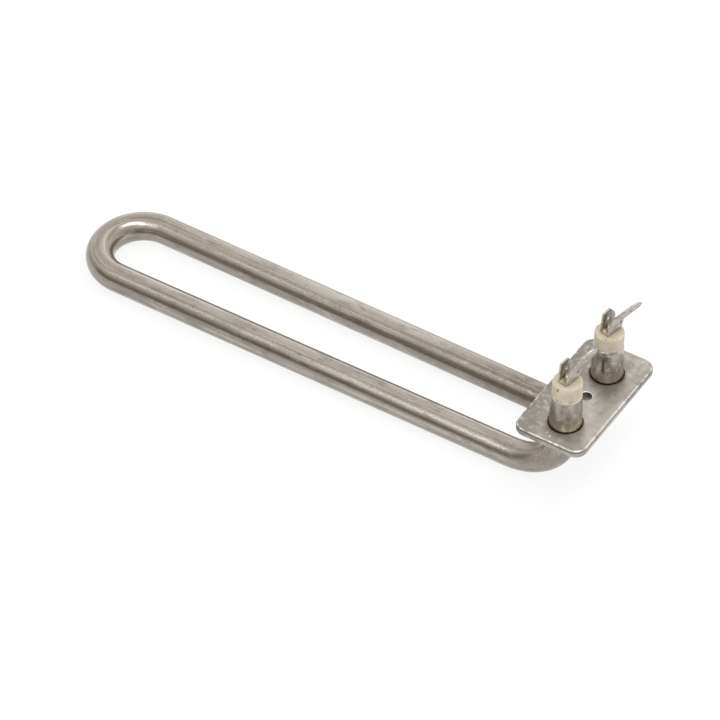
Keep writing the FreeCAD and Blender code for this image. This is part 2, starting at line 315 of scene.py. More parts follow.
def spot(tree, place, centre, radius, soft):
    """1 inside a small ball round a point, 0 outside, with this share of the radius soft."""
    distance = add(tree, "ShaderNodeVectorMath", {0: place, 1: centre}, operation="DISTANCE")
    return spread(tree, distance.outputs["Value"], radius, radius * (1 - soft))


def long_spot(tree, place, centre, width, tall):
    """1 inside an upright oval round a point, 0 outside."""
    squeeze = width / tall
    squeezed = stretched(tree, place, (1.0, 1.0, squeeze), (0, 0, centre.z * (1 - squeeze)))
    return spot(tree, squeezed, centre, width, 0.8)


def colour(red, green, blue):
    return (red, green, blue, 1.0)


def past(tree, value, start, kind):
    """How far a value lies past a start, and 0 on the start's other side."""
    return maths(tree, kind, maths(tree, "SUBTRACT", value, start), 0.0)


def length_of(tree, first, second):
    pair = add(tree, "ShaderNodeCombineXYZ", {0: first, 1: second}).outputs[0]
    return add(tree, "ShaderNodeVectorMath", {0: pair}, operation="LENGTH").outputs["Value"]


def drawn_way(tree, place, along_share):
    """Coordinates that follow the bent tube, so that drawn lines run round its bends.

    The first is the distance from the hairpin's middle, the second the distance from the
    upturns' middle, the third runs slowly along the tube.
    """
    x, y, z = axes(tree, place)
    around = length_of(tree, past(tree, x, CLOSED_END.x, "MINIMUM"),
                       maths(tree, "SUBTRACT", y, MIDDLE_Y))
    narrowing = times(tree, past(tree, x, CLOSED_END.x, "MAXIMUM"), LEG_NARROWING)
    around = maths(tree, "ADD", around, narrowing)
    upturned = length_of(tree, past(tree, x, UPTURN_START, "MAXIMUM"),
                         past(tree, z, UPTURN_TOP, "MINIMUM"))
    along = times(tree, maths(tree, "ADD", x, z), along_share)
    other_leg = spread(tree, y, -9 * MM, 9 * MM, 0.0, 1.5 * MM)
    along = maths(tree, "ADD", along, other_leg)
    return add(tree, "ShaderNodeCombineXYZ", {0: around, 1: upturned, 2: along}).outputs[0]


# The drawn steel of the legs and upturns
DRAWN_PALE = colour(0.435, 0.40, 0.36)
DRAWN_DARK = colour(0.325, 0.292, 0.258)
DRAWN_PATCH = colour(0.26, 0.232, 0.203)
PALE_STREAK = colour(0.60, 0.55, 0.48)
CROWN_REFLECTION = colour(0.55, 0.52, 0.475)
SCORCHED = colour(0.325, 0.286, 0.246)
BROWN_STAIN = colour(0.19, 0.163, 0.138)
GREY_STAIN = colour(0.47, 0.445, 0.415)
LINE_REFLECTION = colour(0.74, 0.65, 0.53)
LEG_SPECK = colour(0.18, 0.155, 0.132)
STREAK_SHARE = 0.34
STREAK_LOSS_ON_UPTURN = 0.25
NEAR_HEAT = 0.45
FAR_HEAT = 0.9
FAR_HEAT_START = 12 * MM
CROWN_FULL = CLOSED_END.x + 18 * MM
# Painted reflections: how deep below the crown each bright line lies, and half its width
REFLECTION_LINES = ((0.21 * MM, 0.045 * MM), (0.86 * MM, 0.07 * MM))


def leg_shade(tree, place, bands, patches, on_upturn):
    """Streaky drawn steel with heat stains, painted reflections on its crown and in two lines."""
    x, y, _ = axes(tree, place)
    line_way = drawn_way(tree, place, 0.010)
    lines = noise(tree, line_way, 1.0, detail=1, rough=0.5)
    stains = noise(tree, drawn_way(tree, place, 0.40), 2.2, detail=3.5, rough=0.55,
                   distortion=0.15)
    specks = noise(tree, place, 0.75, detail=2.5, rough=0.6)

    shade = two_tone(tree, bands, 0.40, 0.60, DRAWN_PALE, DRAWN_DARK)
    shade = stained(tree, shade, patches, 0.42, 0.66, 0.5, DRAWN_PATCH)
    streak_share = maths(tree, "SUBTRACT", STREAK_SHARE,
                         times(tree, on_upturn, STREAK_LOSS_ON_UPTURN))
    for start, full, tint in ((0.57, 0.67, PALE_STREAK), (0.43, 0.33, BROWN_STAIN)):
        shade = painted(tree, shade, spread(tree, lines, start, full), streak_share, tint)

    _, from_upturn, _ = axes(tree, line_way)
    below_crown = maths(tree, "SUBTRACT", from_upturn, UPTURN_RADIUS - TUBE_RADIUS)
    # Painted reflection: a paler band along the top of each leg, fading toward the closed end and
    # on the upturns, broken by the patches.
    crown_reflection = times(tree, spread(tree, below_crown, 0.26 * MM, 0.12 * MM),
                  spread(tree, x, CLOSED_END.x, CROWN_FULL))
    crown_reflection = times(tree, crown_reflection, maths(tree, "SUBTRACT", 1.0, on_upturn))
    shade = painted(tree, shade, crown_reflection, spread(tree, patches, 0.70, 0.40, 0.12, 0.38), CROWN_REFLECTION)

    far_heat = spread(tree, x, FAR_HEAT_START, UPTURN_START)
    heated = mixed(tree, spread(tree, y, -2 * MM, 2 * MM),
                   times(tree, on_upturn, NEAR_HEAT), times(tree, far_heat, FAR_HEAT))
    shade = mixed(tree, heated, shade, two_tone(tree, stains, 0.38, 0.62, SCORCHED, BROWN_STAIN))
    shade = stained(tree, shade, stains, 0.56, 0.70, 0.5, GREY_STAIN)
    shade = stained(tree, shade, stains, 0.42, 0.32, 0.45, BROWN_STAIN)

    # Two thin painted reflections along the legs at set depths below the crown, fainter on the
    # upturns.
    for depth, half_width in REFLECTION_LINES:
        reflection_line = spread(tree, distance_from(tree, below_crown, depth),
                      half_width, 0.1 * half_width, 0.0, 0.7)
        reflection_line = times(tree, reflection_line, spread(tree, patches, 0.66, 0.46, 0.25, 1.0))
        fading = spread(tree, on_upturn, 1.0, 0.0, 0.3, 1.0)
        shade = painted(tree, shade, reflection_line, fading, LINE_REFLECTION)
    return stained(tree, shade, specks, 0.58, 0.68, 0.4, LEG_SPECK)


# The burnt scale of the posts
NEAR_SCALE_PALE = colour(0.415, 0.375, 0.327)
NEAR_SCALE_DARK = colour(0.255, 0.225, 0.192)
NEAR_FOOT_PALE = colour(0.42, 0.367, 0.30)
NEAR_FOOT_DARK = colour(0.31, 0.268, 0.217)
NEAR_FILM_PALE = colour(0.55, 0.51, 0.46)
NEAR_FILM_DARK = colour(0.19, 0.165, 0.14)
FAR_SCALE_PALE = colour(0.55, 0.51, 0.465)
FAR_SCALE_DARK = colour(0.30, 0.272, 0.242)
FAR_FILM_PALE = colour(0.66, 0.635, 0.60)
FAR_FILM_DARK = colour(0.17, 0.15, 0.13)
FAR_FOOT_PALE = colour(0.40, 0.355, 0.305)
FAR_FOOT_DARK = colour(0.24, 0.208, 0.175)
BLOTCH = colour(0.13, 0.11, 0.09)
BLOTCH_PLACE = post_axis(NEAR) + Vector((1.05, -4.62, 31.9)) * MM
SOOT_STREAK = colour(0.06, 0.052, 0.045)
SOOT_STREAK_PLACE = post_axis(FAR) + Vector((0.9, -4.35, 31.2)) * MM
LIP_HIGHLIGHT = colour(0.76, 0.725, 0.67)


def post_shade(tree, place):
    """Burnt scale, smooth over a tan foot on the near post, mottled over a brown one on the far.

    The near post also has a dark blotch and a broken painted highlight on its lip, the far post a
    soot streak.
    """
    _, y, height = axes(tree, place)
    scale = noise(tree, stretched(tree, place, (1.0, 1.0, 0.55)), 3.0, detail=4, rough=0.55,
                  distortion=0.2)
    film = noise(tree, shifted(tree, place, (0.02, 0.03, 0)), 1.7, detail=5, rough=0.58,
                 distortion=0.15)
    wavy_height = maths(tree, "ADD", height, times(tree, scale, 1.6 * MM))

    near = two_tone(tree, scale, 0.35, 0.68, NEAR_SCALE_PALE, NEAR_SCALE_DARK)
    near_foot = two_tone(tree, scale, 0.38, 0.62, NEAR_FOOT_PALE, NEAR_FOOT_DARK)
    near = stained(tree, near, wavy_height, 29.6 * MM, 29.2 * MM, 0.8, near_foot)
    near = stained(tree, near, film, 0.54, 0.64, 0.5, NEAR_FILM_PALE)
    near = stained(tree, near, film, 0.44, 0.36, 0.5, NEAR_FILM_DARK)

    far = two_tone(tree, scale, 0.36, 0.62, FAR_SCALE_PALE, FAR_SCALE_DARK)
    far = stained(tree, far, film, 0.51, 0.64, 0.65, FAR_FILM_PALE)
    far = stained(tree, far, film, 0.46, 0.34, 0.75, FAR_FILM_DARK)
    far_foot = two_tone(tree, film, 0.40, 0.60, FAR_FOOT_PALE, FAR_FOOT_DARK)
    far = stained(tree, far, wavy_height, 29.0 * MM, 28.2 * MM, 0.75, far_foot)

    shade = two_tone(tree, y, -2 * MM, 2 * MM, near, far)
    blotch = long_spot(tree, place, BLOTCH_PLACE, 0.9 * MM, 2.6 * MM)
    shade = painted(tree, shade, blotch, 0.7, BLOTCH)
    soot_streak = long_spot(tree, place, SOOT_STREAK_PLACE, 0.55 * MM, 3.6 * MM)
    shade = painted(tree, shade, soot_streak, 0.8, SOOT_STREAK)

    # Painted highlight: a broken bright line round the near post's rounded lip.
    near_lip_highlight = times(tree, spread(tree, y, 2 * MM, -2 * MM),
                     spread(tree, height, MOUTH_Z[NEAR] - 0.85 * MM, MOUTH_Z[NEAR] - 0.6 * MM))
    return painted(tree, shade, near_lip_highlight, spread(tree, scale, 0.42, 0.52, 0.0, 0.7), LIP_HIGHLIGHT)


def tube_finish():
    """Drawn steel along the hairpin and its upturns, burnt scale from the plate upward."""
    material, tree, shader, place = new_finish("drawn_tube_steel", 1.0)
    x, _, height = axes(tree, place)
    bands = noise(tree, drawn_way(tree, place, 0.018), 2.3, detail=2, rough=0.5)
    patches = noise(tree, drawn_way(tree, place, 0.22), 2.6, detail=2.5, rough=0.5,
                    distortion=0.3)
    on_upturn = spread(tree, x, UPTURN_START - 4 * MM, UPTURN_START + 8 * MM)
    on_post = spread(tree, height, PLATE_BOTTOM, PLATE_TOP)
    shade = mixed(tree, on_post, leg_shade(tree, place, bands, patches, on_upturn),
                  post_shade(tree, place))
    duller = times(tree, maths(tree, "MAXIMUM", on_post, on_upturn), 0.09)
    rough = maths(tree, "ADD", spread(tree, patches, 0.3, 0.7, 0.22, 0.26), duller)
    normal = bump(tree, bands, 0.006 * MM, 0.5)
    normal = bump(tree, patches, 0.0012 * MM, 0.5, normal)
    join(tree, shader, Base_Color=shade, Roughness=rough, Normal=normal)
    return material


# The stamped plate. Places and radii of its clouds and marks are in millimetres.
PLATE_PALE = colour(0.39, 0.364, 0.333)
PLATE_DARK = colour(0.31, 0.286, 0.258)
PLATE_PAINTED_LIGHT = colour(0.53, 0.50, 0.464)
PLATE_PAINTED_LIGHT_PLACE = (84.0 * MM, -7.0 * MM, 0)
PLATE_DARKER_SIDE = colour(0.25, 0.231, 0.208)
FILM_PALE = colour(0.56, 0.54, 0.51)
FILM_DARK = colour(0.24, 0.218, 0.193)
PLATE_SPECK = colour(0.15, 0.13, 0.11)
BARE_MARK = colour(0.86, 0.84, 0.80)
RIM_WEAR_AND_HIGHLIGHT = colour(0.88, 0.86, 0.82)
SHADE_LINE_UNDER_RIM = colour(0.14, 0.122, 0.105)
SCREW_BORE_SHADE = colour(0.125, 0.108, 0.09)
SCREW_HOLE = (POST_X, MIDDLE_Y, 0)
PALE_CLOUDS = (
    ((82.5, -7.6, 0), 4.2), ((80.5, -1.5, 0), 3.8), ((84.4, 18.6, 0), 3.4),
    ((84.0, -14.5, 0), 4.0), ((79.5, -18.5, 0), 3.4), ((71.0, 1.0, 0), 2.4),
    ((73.2, 3.4, 0), 2.6),
)
BARE_MARKS = (((77.3, -19.2, 0), 0.5), ((75.9, -18.4, 0), 0.35), ((83.5, 3.4, 0), 0.3))


def band_below_top(tree, height, lower_edge, upper_edge):
    """1 in a level band below the plate's top, 0 above and below the band.

    Each edge is given by the depths in millimetres where it starts and where it is full.
    """
    low_start, low_full = (PLATE_TOP - depth * MM for depth in lower_edge)
    high_start, high_full = (PLATE_TOP - depth * MM for depth in upper_edge)
    return times(tree, spread(tree, height, low_start, low_full),
                 spread(tree, height, high_start, high_full))


def rim_of_plate(tree, x, y):
    """1 on the plate's outer rim, 0 round its holes."""
    from_middle = distance_from(tree, x, PLATE_MIDDLE_X)
    from_centre_line = maths(tree, "ABSOLUTE", y)
    along_sides = spread(tree, from_middle, 9.9 * MM, 10.2 * MM)
    at_ends = spread(tree, from_centre_line, 20.3 * MM, 20.6 * MM)
    at_corners = times(tree, spread(tree, from_middle, 8.4 * MM, 8.8 * MM),
                       spread(tree, from_centre_line, 18.8 * MM, 19.2 * MM))
    return maths(tree, "MAXIMUM", maths(tree, "MAXIMUM", along_sides, at_ends), at_corners)


def plate_finish():
    """Steel under a blotchy film, darker toward the hairpin, worn rim, painted light and shade."""
    material, tree, shader, place = new_finish("stamped_plate_steel", 1.0)
    x, y, height = axes(tree, place)
    flat = stretched(tree, place, (1, 1, 0))
    blotches = noise(tree, place, 3.6, detail=6, rough=0.6, distortion=0.3)
    film = noise(tree, shifted(tree, place, (0.03, 0.01, 0)), 1.6, detail=6, rough=0.62)
    specks = noise(tree, place, 0.55, detail=3, rough=0.6)

    shade = two_tone(tree, blotches, 0.36, 0.66, PLATE_PALE, PLATE_DARK)
    # Painted light: a large soft lighter patch over the middle of the plate, between the posts.
    lit_middle = spot(tree, flat, PLATE_PAINTED_LIGHT_PLACE, 19 * MM, 0.75)
    shade = painted(tree, shade, lit_middle, 0.7, PLATE_PAINTED_LIGHT)
    # Darker toward the hairpin's side of the plate.
    shade = stained(tree, shade, x, 75.5 * MM, 69 * MM, 0.85, PLATE_DARKER_SIDE)
    pale = spread(tree, film, 0.49, 0.66, 0.0, 0.55)
    for centre, radius in PALE_CLOUDS:
        cloud = spot(tree, flat, Vector(centre) * MM, radius * MM, 0.9)
        cloud = times(tree, cloud, spread(tree, film, 0.42, 0.58, 0.1, 0.8))
        pale = maths(tree, "MAXIMUM", pale, cloud)
    shade = mixed(tree, pale, shade, FILM_PALE)
    shade = stained(tree, shade, film, 0.42, 0.30, 0.5, FILM_DARK)
    shade = stained(tree, shade, specks, 0.62, 0.72, 0.6, PLATE_SPECK)
    for centre, radius in BARE_MARKS:
        mark = spot(tree, flat, Vector(centre) * MM, radius * MM, 0.7)
        shade = painted(tree, shade, mark, 0.7, BARE_MARK)

    # Wear and a painted highlight: a bright broken band on the rounding of the plate's outer top
    # edge.
    worn_and_highlit_rim = band_below_top(tree, height, (0.34, 0.22), (0.02, 0.10))
    worn_and_highlit_rim = times(tree, worn_and_highlit_rim, spread(tree, film, 0.38, 0.58, 0.05, 0.75))
    shade = painted(tree, shade, worn_and_highlit_rim, rim_of_plate(tree, x, y), RIM_WEAR_AND_HIGHLIGHT)
    # Painted shade: a dark line on the plate's side just below its rounded top edge.
    shade_line_under_rim = band_below_top(tree, height, (0.86, 0.72), (0.40, 0.52))
    shade = painted(tree, shade, shade_line_under_rim, 0.75, SHADE_LINE_UNDER_RIM)
    # Painted highlight on the screw hole's rounded edge, in the bare marks' colour.
    hole_edge_highlight = spot(tree, flat, SCREW_HOLE, 1.95 * MM, 0.08)
    shade = painted(tree, shade, hole_edge_highlight, 0.7, BARE_MARK)
    # Painted shade: the screw hole's bore is darkened.
    shaded_bore = spot(tree, flat, SCREW_HOLE, 1.66 * MM, 0.03)
    shade = mixed(tree, shaded_bore, shade, SCREW_BORE_SHADE)

    rough = spread(tree, blotches, 0.3, 0.7, 0.40, 0.54)
    normal = bump(tree, blotches, 0.04 * MM, 0.5)
    normal = bump(tree, specks, 0.012 * MM, 0.6, normal)
    join(tree, shader, Base_Color=shade, Roughness=rough, Normal=normal)
    return material


# The ivory ceramic of the beads
IVORY_PALE = colour(0.615, 0.56, 0.438)
IVORY_DARK = colour(0.52, 0.461, 0.342)
IVORY_GRIME = colour(0.44, 0.36, 0.24)
IVORY_PORE = colour(0.36, 0.29, 0.19)
IVORY_TOP_SHADE = colour(0.45, 0.405, 0.315)
IVORY_CHIP = colour(0.20, 0.14, 0.085)
# Side, place from the middle of the bead's top, and radius, in millimetres
CHIPS = (
    (NEAR, (-0.6, -4.1, -0.85), 0.55), (NEAR, (-0.75, -4.1, -1.35), 0.42),
    (NEAR, (3.2, -2.4, -0.2), 0.2), (FAR, (-3.67, -0.28, -0.15), 0.55),
    (FAR, (1.0, -3.75, -0.2), 0.34), (FAR, (3.3, -1.9, -0.35), 0.22),
)


def bead_finish():
    """Unglazed ivory ceramic, a little grimy, with pores and chips, and painted shade on top."""
    material, tree, shader, place = new_finish("ivory_bead_ceramic", 0.0)
    cloud = noise(tree, place, 3.2, detail=4, rough=0.6)
    grime = noise(tree, place, 1.2, detail=5, rough=0.7, distortion=0.5)
    pores = noise(tree, place, 0.35, detail=2)
    _, _, facing_up = face_direction(tree)
    shade = two_tone(tree, cloud, 0.35, 0.65, IVORY_PALE, IVORY_DARK)
    shade = stained(tree, shade, grime, 0.58, 0.72, 0.55, IVORY_GRIME)
    shade = stained(tree, shade, pores, 0.66, 0.72, 0.5, IVORY_PORE)
    # Painted shade: faces that look upward are darker.
    shade = stained(tree, shade, facing_up, 0.7, 0.95, 0.5, IVORY_TOP_SHADE)
    for side, offset, radius in CHIPS:
        centre = post_axis(side, bead_top(side)) + Vector(offset) * MM
        shade = painted(tree, shade, spot(tree, place, centre, radius * MM, 0.7), 0.85, IVORY_CHIP)
    rough = spread(tree, cloud, 0.3, 0.7, 0.48, 0.62)
    normal = bump(tree, pores, 0.04 * MM, 0.5)
    normal = bump(tree, cloud, 0.10 * MM, 0.4, normal)
    join(tree, shader, Base_Color=shade, Roughness=rough, Normal=normal)
    return material


# The plated strip of the terminals
STRIP_PALE = colour(0.54, 0.51, 0.475)
STRIP_DARK = colour(0.42, 0.385, 0.35)
STRIP_RUST = colour(0.26, 0.20, 0.145)
STRIP_BRIGHT = colour(0.70, 0.675, 0.63)
INSIDE_SHADE_PALE = colour(0.47, 0.44, 0.39)
INSIDE_SHADE_DARK = colour(0.35, 0.322, 0.28)
FLUX = colour(0.74, 0.66, 0.52)
FLUX_HEIGHT = 0.6 * MM
FLUX_RADIUS = 2.6 * MM


def tab_finish():
    """Light grey plated strip, rust spots, painted shade inside its short leg, flux round the pin.
    """
    material, tree, shader, place = new_finish("plated_strip_steel", 1.0)
    x, _, _ = axes(tree, place)
    facing_out, _, facing_up = face_direction(tree)
    patches = noise(tree, place, 1.6, detail=4, rough=0.6, distortion=0.3)
    rust = noise(tree, place, 0.8, detail=4, rough=0.65)
    grain = noise(tree, place, 0.18, detail=2)
    shade = two_tone(tree, patches, 0.35, 0.65, STRIP_PALE, STRIP_DARK)
    shade = stained(tree, shade, rust, 0.58, 0.70, 0.6, STRIP_RUST)
    shade = stained(tree, shade, rust, 0.36, 0.28, 0.5, STRIP_BRIGHT)
    # Painted shade: the inner face of the short leg is darker.
    short_leg_inside = times(tree, spread(tree, facing_out, 0.75, 0.92),
                         spread(tree, x, POST_X + 0.3 * MM, POST_X - 0.3 * MM))
    inside_shade = two_tone(tree, patches, 0.35, 0.65, INSIDE_SHADE_PALE, INSIDE_SHADE_DARK)
    shade = mixed(tree, short_leg_inside, shade, inside_shade)
    flux = times(tree, spread(tree, facing_up, 0.8, 0.95),
                 spread(tree, rust, 0.34, 0.46, 0.35, 0.95))
    for side in SIDES:
        pin_foot = post_axis(side, bead_top(side) + FLUX_HEIGHT)
        shade = painted(tree, shade, spot(tree, place, pin_foot, FLUX_RADIUS, 0.35), flux, FLUX)
    rough = spread(tree, patches, 0.3, 0.7, 0.34, 0.50)
    normal = bump(tree, grain, 0.008 * MM, 0.5)
    normal = bump(tree, patches, 0.03 * MM, 0.5, normal)
    join(tree, shader, Base_Color=shade, Roughness=rough, Normal=normal)
    return material


def pin_finish():
    """Steel tarnished cream to tan."""
    material, tree, shader, place = new_finish("tarnished_pin_steel", 0.85)
    film = noise(tree, place, 1.0, detail=4, rough=0.6)
    shade = two_tone(tree, film, 0.35, 0.65, colour(0.72, 0.65, 0.53), colour(0.52, 0.45, 0.35))
    rough = spread(tree, film, 0.3, 0.7, 0.30, 0.48)
    normal = bump(tree, film, 0.04 * MM, 0.5)
    join(tree, shader, Base_Color=shade, Roughness=rough, Normal=normal)
    return material


def braze_finish():
    """Dull dark braze with brighter flow marks."""
    material, tree, shader, place = new_finish("dull_braze", 1.0)
    flow = noise(tree, place, 1.3, detail=5, rough=0.65, distortion=1.0)
    shade = two_tone(tree, flow, 0.35, 0.68, colour(0.30, 0.235, 0.15), colour(0.13, 0.10, 0.075))
    rough = spread(tree, flow, 0.3, 0.7, 0.40, 0.62)
    normal = bump(tree, flow, 0.12 * MM, 0.7)
    join(tree, shader, Base_Color=shade, Roughness=rough, Normal=normal)
    return material


def powder_finish(name, pale, dark, grain_size):
    """A dry packed or cast filling."""
    material, tree, shader, place = new_finish(name, 0.0)
    grain = noise(tree, place, grain_size, detail=4, rough=0.7)
    shade = two_tone(tree, grain, 0.4, 0.65, pale, dark)
    rough = spread(tree, grain, 0.3, 0.7, 0.8, 0.95)
    normal = bump(tree, grain, 0.05 * MM, 0.6)
    join(tree, shader, Base_Color=shade, Roughness=rough, Normal=normal)
    return material


def coil_finish():
    """Oxidised wire, its turns shown as fine ridges along the coil."""
    material, tree, shader, place = new_finish("oxidised_coil_wire", 1.0)
    inputs = {"Vector": place, "Scale": 1 / (3.2 * MM), "Distortion": 0.2}
    turns = add(tree, "ShaderNodeTexWave", inputs, bands_direction="X").outputs["Fac"]
    film = noise(tree, place, 1.4, detail=3)
    shade = mixed(tree, film, colour(0.34, 0.31, 0.28), colour(0.16, 0.14, 0.13))
    rough = spread(tree, film, 0.3, 0.7, 0.45, 0.65)
    normal = bump(tree, turns, 0.15 * MM, 0.8)
    join(tree, shader, Base_Color=shade, Roughness=rough, Normal=normal)
    return material


# The sheath tube

def leg(side):
    """Where a leg's centre line meets the closed end, and its direction from there to the post."""
    foot = post_axis(side, LEG_Z)
    to_centre = CLOSED_END - foot
    out = 1 if side == FAR else -1
    spread_angle = math.asin(CLOSED_END_RADIUS / to_centre.length)
    bearing = math.atan2(to_centre.y, to_centre.x) - out * spread_angle
    direction = Vector((math.cos(bearing), math.sin(bearing), 0))
    run = math.sqrt(to_centre.length ** 2 - CLOSED_END_RADIUS ** 2)
    return foot + direction * run, direction * -1


def draw_ring(start, end, share=1.0):
    """Extrudes the ring in hand to a new centre and scales it there."""
    bpy.ops.mesh.extrude_region_move(TRANSFORM_OT_translate={"value": end - start})
    if share != 1.0:
        bpy.ops.transform.resize(value=(share, share, share), center_override=end)


def draw_post(side, rings):
    """Draws the ring in hand up or down a post, through rings given by radius and height."""
    radius, height = rings[0]
    for next_radius, next_height in rings[1:]:
        draw_ring(post_axis(side, height), post_axis(side, next_height), next_radius / radius)
        radius, height = next_radius, next_height


def post_rings(side):
    """The post's rings from inside its mouth, over the rim and down to the upturn."""
    mouth = MOUTH_Z[side]
    rings = [
        (TUBE_BORE, mouth - MOUTH_DEPTH),
        (TUBE_BORE, mouth - MOUTH_INNER_ROUND),
        (TUBE_BORE + MOUTH_INNER_FLARE, mouth),
    ]
    for step in range(MOUTH_STEPS + 1):
        turn = QUARTER * step / MOUTH_STEPS
        rings.append((TUBE_RADIUS - MOUTH_ROUND * (1 - math.sin(turn)),
                      mouth - MOUTH_ROUND * (1 - math.cos(turn))))
    rings += [
        (TUBE_RADIUS, mouth - MOUTH_RIM),
        (POST_SWELL_RADIUS, PLATE_TOP),
        (POST_SWELL_RADIUS, SWELL_TOP),
        (TUBE_RADIUS, UPTURN_TOP),
    ]
    return rings


def make_sheath(material):
    rings = post_rings(NEAR)
    radius, height = rings[0]
    bpy.ops.mesh.primitive_circle_add(vertices=ROUND_SIDES, radius=radius, fill_type="NOTHING",
                                      location=post_axis(NEAR, height))
    tube = bpy.context.active_object
    edit(tube)
    bpy.ops.mesh.select_all(action="SELECT")
    draw_post(NEAR, rings)

    near_tangent, near_way = leg(NEAR)
    far_tangent, far_way = leg(FAR)
    near_low = post_axis(NEAR, LEG_Z) - near_way * UPTURN_RADIUS
    far_low = post_axis(FAR, LEG_Z) - far_way * UPTURN_RADIUS
    bpy.ops.mesh.spin(steps=UPTURN_STEPS, angle=QUARTER, center=near_low + UP * UPTURN_RADIUS,
                      axis=near_way.cross(UP))
    draw_ring(near_low, near_tangent)
    half_turn = (near_tangent - CLOSED_END).angle(OUTWARD * -1)
    bpy.ops.mesh.spin(steps=CLOSED_END_STEPS, angle=2 * half_turn, center=CLOSED_END, axis=UP)
    draw_ring(far_tangent, far_low)
    bpy.ops.mesh.spin(steps=UPTURN_STEPS, angle=QUARTER, center=far_low + UP * UPTURN_RADIUS,
                      axis=far_way.cross(UP) * -1)
    draw_post(FAR, post_rings(FAR)[::-1])
    done()
    outward_faces(tube)
    settle(tube, 40)
    finish_piece(tube, "bent_sheath_tube", material, ["sheath_tube"])


# The flange plate

def bore_out(piece, radius, low, high, place, wide=None):
    """Cuts a round hole, or a dished one where its top is wider."""
    bpy.ops.mesh.primitive_cone_add(vertices=ROUND_SIDES, radius1=radius, radius2=wide or radius,
                                    depth=high - low, location=(place.x, place.y, (low + high) / 2))
    cutter = bpy.context.active_object
    modify(piece, "BOOLEAN", operation="DIFFERENCE", solver="EXACT", object=cutter)
    only(cutter)
    bpy.ops.object.delete()


def on_screw_hole_edge(edge):
    centre = Vector((POST_X, MIDDLE_Y))
    return at_height(edge, PLATE_TOP) and all(
        abs((vert.co.xy - centre).length - SCREW_HOLE_RADIUS) < SAME_RADIUS for vert in edge.verts)


def make_plate(material):
    size = PLATE_HIGH - PLATE_LOW
    bpy.ops.mesh.primitive_cube_add(size=1, location=(PLATE_LOW + PLATE_HIGH) / 2, scale=size)
    plate = bpy.context.active_object
    apply_place(plate)
    edit(plate)
    pick("edges", is_upright)
    bpy.ops.mesh.bevel(offset=PLATE_CORNER, segments=14, affect="EDGES")
    pick("edges", lambda edge: at_height(edge, PLATE_TOP))
    bpy.ops.mesh.bevel(offset=PLATE_EDGE_ROUND, segments=5, affect="EDGES")
    pick("edges", lambda edge: at_height(edge, PLATE_BOTTOM))
    bpy.ops.mesh.bevel(offset=PLATE_UNDER_ROUND, segments=2, affect="EDGES")
    done()
    through = PLATE_BOTTOM - CUTTER_OVERRUN, PLATE_TOP + CUTTER_OVERRUN
    dish_growth = 2 * (STAKED_RADIUS - POST_HOLE_RADIUS)
    for side in SIDES:
        bore_out(plate, POST_HOLE_RADIUS, *through, post_axis(side))
        bore_out(plate, POST_HOLE_RADIUS, PLATE_TOP - STAKED_DEPTH, PLATE_TOP + STAKED_DEPTH,
                 post_axis(side), wide=POST_HOLE_RADIUS + dish_growth)
    bore_out(plate, SCREW_HOLE_RADIUS, *through, Vector((POST_X, MIDDLE_Y, 0)))
    edit(plate)
    pick("edges", on_screw_hole_edge)
    bpy.ops.mesh.bevel(offset=SCREW_HOLE_ROUND, segments=3, affect="EDGES")
    done()
    outward_faces(plate)
    settle(plate, 30)
    finish_piece(plate, "stamped_flange_plate", material, ["flange_plate"])


# The ceramic beads

def make_bead(side, material):
    low = MOUTH_Z[side]
    top = bead_top(side)
    axis = post_axis(side)
    middle = post_axis(side, (low + top) / 2)
    bpy.ops.mesh.primitive_cylinder_add(vertices=ROUND_SIDES, radius=BEAD_RADIUS,
                                        depth=BEAD_HEIGHT, location=middle)
    bead = bpy.context.active_object
    apply_place(bead)
    edit(bead)
    pick("faces", lambda face: face.normal.z > 0.9)
    bpy.ops.mesh.inset(thickness=BEAD_RADIUS - PIN_BORE, depth=0)
    bpy.ops.mesh.extrude_region_move(TRANSFORM_OT_translate={"value": UP * -PIN_BORE_DEPTH})
    pick("edges", lambda edge: at_height(edge, top) and all(
        (vert.co - axis).xy.length > 0.9 * BEAD_RADIUS for vert in edge.verts))
    bpy.ops.mesh.bevel(offset=BEAD_SHOULDER, segments=8, affect="EDGES")
    pick("edges", lambda edge: at_height(edge, top) and all(
        (vert.co - axis).xy.length < 1.1 * PIN_BORE for vert in edge.verts))
    bpy.ops.mesh.bevel(offset=PIN_BORE_ROUND, segments=2, affect="EDGES")
    pick("edges", lambda edge: at_height(edge, low))
    bpy.ops.mesh.bevel(offset=BEAD_FOOT_ROUND, segments=3, affect="EDGES")
    done()
    outward_faces(bead)
    settle(bead, 40)
    finish_piece(bead, side + "_ivory_bead", material, [side + "_ceramic_bead"])


# The terminals and the braze

def copy_of(node_name):
    only(frame["nodes"][node_name])
    bpy.ops.object.duplicate()
    piece = bpy.context.active_object
    edit(piece)
    bpy.ops.mesh.select_all(action="SELECT")
    bpy.ops.mesh.remove_doubles(threshold=SAME_POINT)
    done()
    return piece


def make_terminal(side, material):
    """The folded strip with its stamped edges broken."""
    terminal = copy_of(side + "_tab_terminal")
    edit(terminal)
    bpy.ops.mesh.select_all(action="SELECT")
    bpy.ops.mesh.dissolve_limited(angle_limit=math.radians(0.8))
    bpy.ops.mesh.select_all(action="DESELECT")
    bpy.ops.mesh.select_mode(type="EDGE")
    bpy.ops.mesh.edges_select_sharp(sharpness=math.radians(40))
    bpy.ops.mesh.bevel(offset=BROKEN_EDGE, segments=2, affect="EDGES")
    done()
    settle(terminal, 35)
    finish_piece(terminal, side + "_double_tab", material,
                 [side + "_tab_terminal"])


def make_braze(side, material):
    ring = copy_of(side + "_braze_ring")
    settle(ring, 50)
    finish_piece(ring, side + "_braze_fillet", material, [side + "_braze_ring"])


